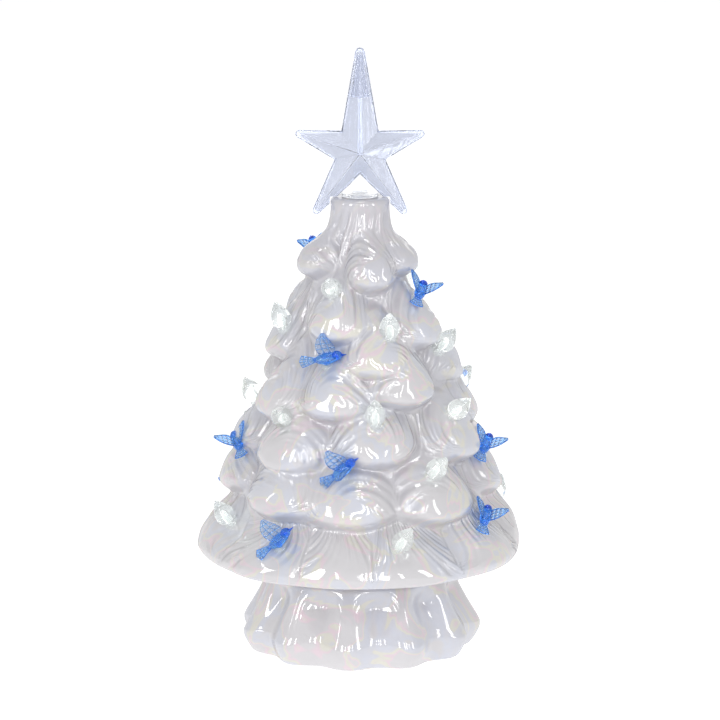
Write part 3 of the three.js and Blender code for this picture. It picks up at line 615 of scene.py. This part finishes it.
def foliage(azimuth, height):
    # locks of foliage: the relief that they add, the count of strands across them and its mask
    nearest, second = np.full(np.shape(azimuth), 9.0), np.full(np.shape(azimuth), 9.0)
    relief, strand, mask = (np.zeros(np.shape(azimuth)) for _ in range(3))
    for i, branch in enumerate(branches):
        edge, aside, along = nearness(branch, azimuth, height)
        near = np.sqrt(edge)
        closer = near < nearest
        second = np.where(closer, nearest, np.minimum(second, near))
        nearest = np.where(closer, near, nearest)
        # they run round each branch and meet above it, and on the skirt they fan out downwards
        bend = np.arctan2(aside, np.maximum(along, -0.3) * 1.6)
        winding = tree["twist"] * (1 if i % 2 else -1) * bend
        arch = (tree["strands"] * near + winding + 0.3 * np.sin(2 * bend + i * 1.7)
                + 0.2 * np.sin(4 * aside + i))
        fan = tree["fan"] * np.arctan2(aside, 1.15 - along) + 1.1 * np.sin(3 * along + 1.2 * aside + i)
        turn = fan if branch[1] < tree["skirtRow"] else arch
        wave = 0.5 + 0.5 * np.cos(math.tau * turn)
        lock = smoothStep(near, 0.26, 0.56) * smoothStep(along, -0.45, 0.05)
        lock = lock * (0.4 + 0.6 * np.sin(1.5 * bend + i * 2.3) ** 2)
        here = -tree["strandDepth"] * lock * wave ** 2
        # a rolled lip round the tip's lower edge
        roll = (np.exp(-((near - 0.5) / 0.22) ** 2) * smoothStep(-along, -0.16, 0.2)
                * np.exp(-aside ** 2 * 2.2))
        here = here + tree["lipRoll"] * roll
        relief = np.where(closer, here, relief)
        strand = np.where(closer, turn * 2 * math.tau, strand)
        mask = np.where(closer, lock, mask)
    # no step where two branches meet, and the locks run out on the neck and the skirt's rim
    seam = smoothStep(second - nearest, 0.0, 0.09)
    seam = (seam * smoothStep(height, tree["bottom"] + 1, tree["bottom"] + 7)
            * (1 - smoothStep(height, tree["neckFrom"], tree["neckFull"])))
    return relief * seam, strand, mask * seam


def swells(azimuth, height):
    # the uneven surface of a hand-finished mould
    turn = np.radians(azimuth)
    broad = (np.sin(9 * turn + height / 8 + 1.5 * np.sin(height / 13))
             * np.sin(height / 5.5 + 2 * np.sin(5 * turn)))
    fine = np.sin(23 * turn - height / 4.5) * np.sin(height / 3.1 + 3 * np.sin(4 * turn + 1))
    window = smoothStep(height, 60, 72) * (1 - smoothStep(height, tree["neckFrom"], tree["neckFull"]))
    return tree["swell"] * (broad + 0.35 * fine) * window


def neckStrands(azimuth, height):
    turn = np.radians(azimuth)
    sway = 0.35 * np.sin((height - 225) / 9.0)
    wave = np.abs(np.cos(10 * turn + 4 * sway + 1.1 * np.sin(3 * turn)))
    window = smoothStep(height, 232, 244) * (1 - smoothStep(height, 259, 266))
    smooth = 1 - 0.9 * np.exp(-((azimuth - 6) / 17) ** 2)  # the front of the neck is left smooth
    return -1.3 * wave ** 3 * window * smooth * (0.35 + 0.65 * np.cos(turn * 2 + 0.8) ** 2)


def makeTreeShell():
    outer = np.linspace(tree["bottom"], tree["neckTop"], tree["rows"])
    fine = tree["bottom"] + tree["rim"] * (1 - np.cos(np.linspace(0, math.pi / 2, 7)))
    rounding = tree["neckTop"] - tree["neckRound"] * (1 - np.cos(np.linspace(0, math.pi / 2, 7)))
    heights = sorted({*fine.tolist(), *rounding.tolist(),
                      *outer[(outer > fine[-1]) & (outer < rounding[-1])].tolist()})
    ceiling = tree["neckTop"] - tree["neckLength"]
    inner = np.linspace(ceiling, tree["bottom"] + tree["floor"], 20)
    cavity = [(float(coreAt(h)) - tree["wall"], float(h)) for h in inner]
    profile = [(farOut, h) for h in heights]
    profile += [(tree["stemHole"] + 0.6, tree["neckTop"]), (tree["stemHole"], tree["neckTop"] - 0.6)]
    profile += [(tree["stemHole"], ceiling)] + cavity
    profile += [(tree["mouth"], tree["bottom"] + tree["floor"]), (tree["mouth"], tree["bottom"] + 1.5),
                (tree["mouth"] + 1.5, tree["bottom"]), (tree["mouth"] + 24, tree["bottom"])]
    bm = spunProfile(profile, tree["around"], closed=True)
    places = takeCoordinates(bm)
    outside = np.hypot(places[:, 0], places[:, 1]) > farOut / 2
    x, y, z = places[outside].T
    azimuth = np.degrees(np.arctan2(x, -y))
    relief, strand, mask = foliage(azimuth, z)
    radius = shellRadius(azimuth, z) + relief + neckStrands(azimuth, z) + swells(azimuth, z)
    radius -= (roundedEdge(z, tree["bottom"], tree["rim"])
               + roundedEdge(z, tree["neckTop"], tree["neckRound"]))
    places[outside, 0], places[outside, 1] = x / farOut * radius, y / farOut * radius
    giveCoordinates(bm, places)
    bmesh.ops.recalc_face_normals(bm, faces=bm.faces)
    sunk = (reachAt(z) - radius) / tree["depth"]
    # painted shade: the glaze is darkened in the sunk creases between branches and, more strongly, over the
    # upper neck
    creaseShade = np.clip(sunk * 1.1 - 0.2, 0, 1) * (1 - smoothStep(z, 225, 245)) * smoothStep(z, 60, 110)
    fields = {"hollow": creaseShade + 0.75 * smoothStep(z, 195, 250) * (1 - creaseShade),
              "strand": strand, "strandAmount": mask}
    piece = finishPiece("treeShell", bm, ["pearlGlaze"], "tree", ["tree_shell"])
    for label, values in fields.items():
        giveField(piece, label, outside, values)


makeTreeShell()
print("tree shell made")

# Foot

foot = {
    "height": 56, "ring": 65.5, "shoulder": 72.3, "shoulderHeight": 13.5, "shoulderRise": 2.3,
    "waist": 54, "waistHeight": 50, "flare": 1.3, "hollow": 45.5, "hollowHeight": 44, "flutes": 11,
    "fluteDepth": 8, "ridgeAzimuth": 25.8, "mouth": 57, "deck": 4, "lip": 46,
    "lipWall": 3, "lipHeight": 6, "caseTop": 4.3, "postHole": 8, "inset": 0.25, "around": 352, "rows": 90,
    "rounding": 1.4, "fluteShade": 0.1,
}


def scoopAt(azimuth):
    # 0 at a ridge and 1 in the middle of a flute
    return np.sin(np.radians(azimuth - foot["ridgeAzimuth"]) * foot["flutes"] * 0.5) ** 2


def footRadius(azimuth, height):
    scoop = scoopAt(azimuth)
    shoulder = foot["shoulderHeight"] + foot["shoulderRise"] * scoop
    under = np.clip(1 - height / shoulder, 0, 1)
    drop = np.clip((foot["waistHeight"] - height) / (foot["waistHeight"] - shoulder), 0, 1)
    below = foot["shoulder"] - (foot["shoulder"] - foot["ring"]) * under ** 1.6
    above = foot["waist"] + (foot["shoulder"] - foot["waist"]) * drop ** foot["flare"]
    scooped = foot["fluteDepth"] * scoop
    radius = np.where(height < shoulder, below - scooped * (1 - 0.3 * under),
                      above - scooped * smoothStep(drop, 0.08, 0.5))
    edge = 0.5 * np.exp(-((height - shoulder) / 2.2) ** 2)
    ledge = 1.6 * np.exp(-((height - 51.5) / 2.6) ** 2) - 1.1 * np.exp(-((height - 46.6) / 1.2) ** 2)
    return radius - edge + ledge - foot["inset"]


def makeFoot():
    low = foot["rounding"] * (1 - np.cos(np.linspace(0, math.pi / 2, 5)))
    high = foot["height"] - low
    rows = np.linspace(0, foot["height"], foot["rows"])
    heights = sorted({*low.tolist(), *high.tolist(),
                      *rows[(rows > low[-1]) & (rows < high[-1])].tolist()})
    ceiling = foot["height"] - foot["deck"]
    profile = [(farOut, h) for h in heights]
    profile += [(foot["lip"], foot["height"]), (foot["lip"], foot["height"] + foot["lipHeight"] - 1),
                (foot["lip"] - 1, foot["height"] + foot["lipHeight"]),
                (foot["lip"] - foot["lipWall"] + 1, foot["height"] + foot["lipHeight"]),
                (foot["lip"] - foot["lipWall"], foot["height"] + foot["lipHeight"] - 1),
                (foot["lip"] - foot["lipWall"], foot["height"]),
                (foot["postHole"] + 0.8, foot["height"]), (foot["postHole"], foot["height"] - 0.8),
                (foot["postHole"], ceiling), (foot["hollow"], ceiling),
                (foot["hollow"], foot["hollowHeight"]), (foot["mouth"] - 3, foot["hollowHeight"] * 0.5),
                (foot["mouth"] - 3, foot["caseTop"]),
                (foot["mouth"], foot["caseTop"]), (foot["mouth"], 0.6), (foot["mouth"] + 0.6, 0)]
    bm = spunProfile(profile, foot["around"], closed=True)
    places = takeCoordinates(bm)
    outside = np.hypot(places[:, 0], places[:, 1]) > farOut / 2
    x, y, z = places[outside].T
    azimuth = np.degrees(np.arctan2(x, -y))
    radius = footRadius(azimuth, z)
    radius -= roundedEdge(z, 0, foot["rounding"]) + roundedEdge(z, foot["height"], foot["rounding"])
    places[outside, 0], places[outside, 1] = x / farOut * radius, y / farOut * radius
    giveCoordinates(bm, places)
    bmesh.ops.recalc_face_normals(bm, faces=bm.faces)
    # painted shade, faint, in the middle of each flute above the shoulder
    scooped = smoothStep(scoopAt(azimuth), 0.3, 1) * smoothStep(z, 14, 30)
    piece = finishPiece("footShell", bm, ["pearlGlaze"], "foot", ["base_shell"])
    giveField(piece, "hollow", outside, foot["fluteShade"] * scooped)


makeFoot()
print("foot made")

# Ornaments

seat = {"birdPinLean": 30, "proud": 0.3}


def toward(azimuth, climb):
    around, up = math.radians(azimuth), math.radians(climb)
    return Vector((math.sin(around) * math.cos(up), -math.cos(around) * math.cos(up), math.sin(up)))


def frameOf(right, ahead, up, place):
    turned = Matrix((right, ahead, up)).transposed().to_4x4()
    turned.translation = place
    return turned


def seatFrame(azimuth, height, lean, leanAzimuth):
    at = np.array([float(azimuth)]), np.array([float(height)])
    place = toward(azimuth, 0) * (float(shellRadius(*at)[0]) + seat["proud"])
    place.z = height
    up, right = toward(leanAzimuth, 90 - lean), toward(leanAzimuth + 90, 0)
    return frameOf(right, up.cross(right), up, place)


def flightFrame(place, heading, climb, bank):
    ahead, level = toward(heading, climb), toward(heading - 90, 0)
    lifted = level.cross(ahead)
    up = lifted * math.cos(math.radians(bank)) + level * math.sin(math.radians(bank))
    return frameOf(ahead.cross(up), ahead, up, place @ Vector((0, 0, bird["rise"])))


bulb = {
    "pinRadius": 2, "pinLength": 8, "collar": 4.1, "collarRise": 1.0, "sink": 4, "radius": 6.1,
    "length": 15.9, "bore": 1.2, "boreTop": 8.2, "boreWaist": 1.9, "sides": 28,
}


def bulbBody():
    wide, tall = bulb["radius"], bulb["length"]
    outline = [(0, tall), (wide * 0.09, tall - 0.12), (wide * 0.2, tall * 0.95), (wide * 0.38, tall * 0.86),
               (wide * 0.6, tall * 0.74), (wide * 0.79, tall * 0.61), (wide * 0.93, tall * 0.48),
               (wide, tall * 0.35), (wide * 0.985, tall * 0.26), (wide * 0.9, tall * 0.17),
               (wide * 0.77, tall * 0.1), (bulb["collar"] - 0.5, bulb["collarRise"]),
               (bulb["collar"] - 0.15, bulb["collarRise"] * 0.7), (bulb["collar"], 0.1),
               (bulb["collar"], -1.4), (bulb["collar"] - 0.5, -bulb["sink"]),
               (bulb["pinRadius"], -bulb["sink"]), (bulb["pinRadius"], -bulb["pinLength"]),
               (bulb["bore"], -bulb["pinLength"]), (bulb["bore"], 0.6), (bulb["boreWaist"] * 0.8, 2.2),
               (bulb["boreWaist"], 4.0), (bulb["boreWaist"] * 0.85, 5.8), (bulb["bore"], 7.3),
               (0, bulb["boreTop"])]
    return spunProfile(outline, bulb["sides"])


bird = {
    "bodyLength": 15, "bodyRadius": 3.5, "headRadius": 2.8, "rise": 4.6,
    "wingLength": 13.8, "wingChord": 8.5, "wingLift": 52, "wingThick": 0.95, "ribWidth": 0.42,
    "ribDepth": 0.3, "tailLength": 9, "tailHalfWidth": 4.1, "collar": 4.1, "collarRise": 1.1, "sink": 4,
    "pinRadius": 2, "pinLength": 8,
}


def ribbedPanel(columns, rows, shape):
    # a thin plate whose cells are sunk between ribs, on both faces
    bm = bmesh.new()
    bmesh.ops.create_grid(bm, x_segments=columns, y_segments=rows, size=0.5)
    for v in bm.verts:
        v.co = shape(v.co.x + 0.5, v.co.y + 0.5)
    flat = bm.faces[:]
    grown = bmesh.ops.extrude_face_region(bm, geom=flat)
    moved = [g for g in grown["geom"] if isinstance(g, bmesh.types.BMVert)]
    bmesh.ops.translate(bm, vec=(0, 0, bird["wingThick"]), verts=moved)
    bmesh.ops.translate(bm, vec=(0, 0, -bird["wingThick"] / 2), verts=bm.verts)
    bmesh.ops.recalc_face_normals(bm, faces=bm.faces)
    cells = [f for f in bm.faces if abs(f.normal.z) > 0.8]
    for f in bm.faces:
        f.material_index = 0 if abs(f.normal.z) > 0.8 else 1
    bmesh.ops.inset_individual(bm, faces=cells, thickness=bird["ribWidth"] / 2, depth=-bird["ribDepth"])
    for f in cells:
        f.material_index = 2
    return bm


def wingShape(side):
    def shape(out, across):
        front = 0.35 + 0.5 * math.sin(out * math.pi) * (1 - out) - 0.38 * out ** 2
        back = -0.36 - 0.62 * math.sin(out * math.pi * 0.62) * (1 - out * 0.25) + 0.55 * out ** 3
        y = (back + (front - back) * across) * bird["wingChord"]
        x = (-0.1 + 1.1 * out) * bird["wingLength"]
        return Vector((side * x, y, 0.5 * math.sin(out * math.pi)))
    return shape


def tailShape(out, across):
    spread = 1.2 + (bird["tailHalfWidth"] - 1.2) * out
    end = bird["tailLength"] * (1 + 0.12 * math.cos((across - 0.5) * math.pi))
    return Vector(((across - 0.5) * 2 * spread, -out * end * (1 - 0.1 * abs(across - 0.5)), 0))


def addTo(target, part, turned):
    bmesh.ops.transform(part, matrix=turned, verts=part.verts)
    mesh = bpy.data.meshes.new("joining")
    part.to_mesh(mesh)
    part.free()
    target.from_mesh(mesh)
    bpy.data.meshes.remove(mesh)


def flyingBody():
    whole = bmesh.new()
    body = bmesh.new()
    bmesh.ops.create_uvsphere(body, u_segments=14, v_segments=10, radius=1,
                              matrix=Matrix.Rotation(math.radians(90), 4, "X"))
    for v in body.verts:
        along = v.co.y
        slim = 1 - 0.32 * max(0, -along) ** 1.5 + 0.06 * math.sin(along * 9)
        v.co = Vector((v.co.x * bird["bodyRadius"] * slim, along * bird["bodyLength"] / 2,
                       v.co.z * bird["bodyRadius"] * 0.9 * slim))
    addTo(whole, body, Matrix())
    head = bmesh.new()
    bmesh.ops.create_uvsphere(head, u_segments=14, v_segments=10, radius=bird["headRadius"])
    for v in head.verts:
        v.co.y *= 1.12
    for f in head.faces:
        f.material_index = 1 if f.calc_center_median().z > 0.5 else 0
    neck = Matrix.Translation((0, bird["bodyLength"] * 0.45, bird["headRadius"] * 0.7))
    addTo(whole, head, neck)
    beak = bmesh.new()
    bmesh.ops.create_cone(beak, cap_ends=True, segments=8, radius1=1.05, radius2=0.15, depth=3.6,
                          matrix=Matrix.Rotation(math.radians(-90), 4, "X"))
    for f in beak.faces:
        f.material_index = 1
    front = Matrix.Translation((0, bird["bodyLength"] * 0.45 + bird["headRadius"] + 0.9,
                                bird["headRadius"] * 0.6))
    addTo(whole, beak, front)
    addTo(whole, ribbedPanel(4, 4, lambda u, v: tailShape(v, u)),
          Matrix.Translation((0, -bird["bodyLength"] * 0.36, 0)))
    for side in (1, -1):
        shoulder = Matrix.Translation((side * bird["bodyRadius"] * 0.4, bird["bodyLength"] * 0.08, 0.8))
        lifted = Matrix.Rotation(-side * math.radians(bird["wingLift"]), 4, "Y")
        addTo(whole, ribbedPanel(5, 3, wingShape(side)), shoulder @ lifted)
    return whole


def birdCollar():
    whole = spunProfile([
        (0, bird["collarRise"]), (bird["collar"] - 1.2, bird["collarRise"]), (bird["collar"] - 0.4, 0.9),
        (bird["collar"], 0.3), (bird["collar"], -1.6), (bird["collar"] - 0.5, -bird["sink"]),
        (bird["pinRadius"], -bird["sink"]), (bird["pinRadius"], -bird["pinLength"]),
        (0, -bird["pinLength"])], 16)
    for f in whole.faces:
        f.material_index = 3
    stalk = spunProfile([(0, bird["rise"]), (1.6, bird["rise"] - 1), (1.9, 0.8), (0, 0.8)], 10)
    addTo(whole, stalk, Matrix())
    return whole


def templateOf(bm, name):
    bmesh.ops.recalc_face_normals(bm, faces=bm.faces)
    mesh = bpy.data.meshes.new(name)
    bm.to_mesh(mesh)
    bm.free()
    return mesh


def placed(parts):
    # one mesh from templates, each under its own frame
    bm = bmesh.new()
    for template, turned in parts:
        part = bmesh.new()
        part.from_mesh(template)
        addTo(bm, part, turned)
    return bm


def makeOrnaments():
    flame = templateOf(bulbBody(), "bulbTemplate")
    flier, collar = templateOf(flyingBody(), "flierTemplate"), templateOf(birdCollar(), "collarTemplate")
    for i, one in enumerate(bulbs):
        finishPiece(f"bulb{i + 1:02d}", placed([(flame, seatFrame(*one))]), ["bulbClear"], "tree",
                    [f"bulb_{i + 1:02d}"])
    for i, (azimuth, height, *course) in enumerate(birds):
        at = seatFrame(azimuth, height, seat["birdPinLean"], azimuth)
        finishPiece(f"bird{i + 1:02d}", placed([(collar, at), (flier, flightFrame(at, *course))]),
                    ["birdBlue", "birdDeep", "birdWing", "bulbClear"], "tree",
                    [f"bird_{i + 1:02d}"])
    for template in (flame, flier, collar):
        bpy.data.meshes.remove(template)


makeOrnaments()
print("ornaments made:", len(bulbs), "bulbs and", len(birds), "birds")

# Star

star = {
    "bevel": 0.35, "stemBevel": 0.25, "coreFrom": 327.2, "coreTo": 351.5, "coreWidth": 5.4,
    "coreDepth": 3.2, "coreFlutes": 9, "coreTip": 0.24, "fluteDepth": 0.09,
    "spineFrom": 293, "spineWidth": 1.5, "spineDepth": 3.6, "spineBevel": 0.25, "gap": 0.2,
}


def roundEdges(bm, edges, width):
    return bmesh.ops.bevel(bm, geom=edges, affect="EDGES", offset=width, offset_type="OFFSET",
                           segments=2, profile=0.5, material=-1, clamp_overlap=True)


def softened(node, piece, material, outline, width):
    # a copy of a solid's mesh with its flat faces joined up and its edges rounded
    bm = bmesh.new()
    bm.from_mesh(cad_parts[node].data)
    bmesh.ops.scale(bm, vec=(1 / mm, 1 / mm, 1 / mm), verts=bm.verts)
    bmesh.ops.remove_doubles(bm, verts=bm.verts, dist=0.001)
    bmesh.ops.dissolve_limit(bm, angle_limit=math.radians(1.5), verts=bm.verts, edges=bm.edges)
    sharp = [e for e in bm.edges if e.is_manifold and e.calc_face_angle() > math.radians(14)]
    rounded = roundEdges(bm, sharp, width)
    for f in bm.faces:
        f.normal_update()
        f.material_index = 1 if abs(f.normal.y) < 0.5 else 0  # the outline gets the glowing edge material, a painted highlight
    for f in rounded["faces"]:
        f.material_index = 1 if abs(f.normal.y) < 0.8 else 0
    return finishPiece(piece, bm, [material, outline], "star", [node], smooth=False)


def makeStar():
    softened("star_front", "starFront", "starClear", "starEdge", star["bevel"])
    softened("star_back", "starBack", "starClear", "starEdge", star["bevel"])
    softened("star_stem", "starStem", "stemClear", "stemClear", star["stemBevel"])
    # the thick clear point inside the upper arm, fluted, with its level lower face
    bm = bmesh.new()
    depth = star["coreTo"] - star["coreFrom"]
    bmesh.ops.create_cone(bm, cap_ends=True, segments=star["coreFlutes"] * 4, radius1=1,
                          radius2=star["coreTip"], depth=depth)
    for v in bm.verts:
        turn = math.atan2(v.co.y, v.co.x)
        flute = 1 - star["fluteDepth"] * (1 + math.cos(star["coreFlutes"] * turn))
        v.co.x *= star["coreWidth"] * flute
        v.co.y *= star["coreDepth"] * flute
        v.co.z += (star["coreFrom"] + star["coreTo"]) / 2
    finishPiece("starPointCore", bm, ["starClear"], "star", [], smooth=False)
    # and the upright rib below it, the bright line down the middle, lit by the glowing edge material as a
    # painted highlight
    bm = bmesh.new()
    bmesh.ops.create_cube(bm, size=1)
    tall = star["coreFrom"] - star["spineFrom"] - star["gap"]
    for v in bm.verts:
        v.co.x *= star["spineWidth"]
        v.co.y *= star["spineDepth"]
        v.co.z = v.co.z * tall + star["spineFrom"] + tall / 2
    roundEdges(bm, bm.edges[:], star["spineBevel"])
    finishPiece("starSpine", bm, ["starEdge"], "star", [], smooth=False)


makeStar()
print("star made")

# Battery unit and light: the solids are right, so they keep their shape and get their finish

kept = {
    "caseWhite": ["battery_case", "battery_door", "led_post"],
    "switchBlack": ["switch_body", "switch_knob"],
    "springNickel": ["contact_spring_1", "contact_spring_2", "contact_spring_3", "terminal_positive",
                     "terminal_negative", "bridge_plate_1", "bridge_plate_2"],
    "cellSleeve": ["battery_1", "battery_2", "battery_3"],
    "boardMask": ["led_board"],
    "lensClear": ["led_1", "led_2", "led_3"],
    "leadRed": ["wire_red"],
    "leadBlack": ["wire_black"],
}


def finishNodes():
    for material, nodes in kept.items():
        for node in nodes:
            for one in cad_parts[node].material_slots:
                one.link = "OBJECT"
                one.material = finishes[material]


finishNodes()
print("inner nodes finished")
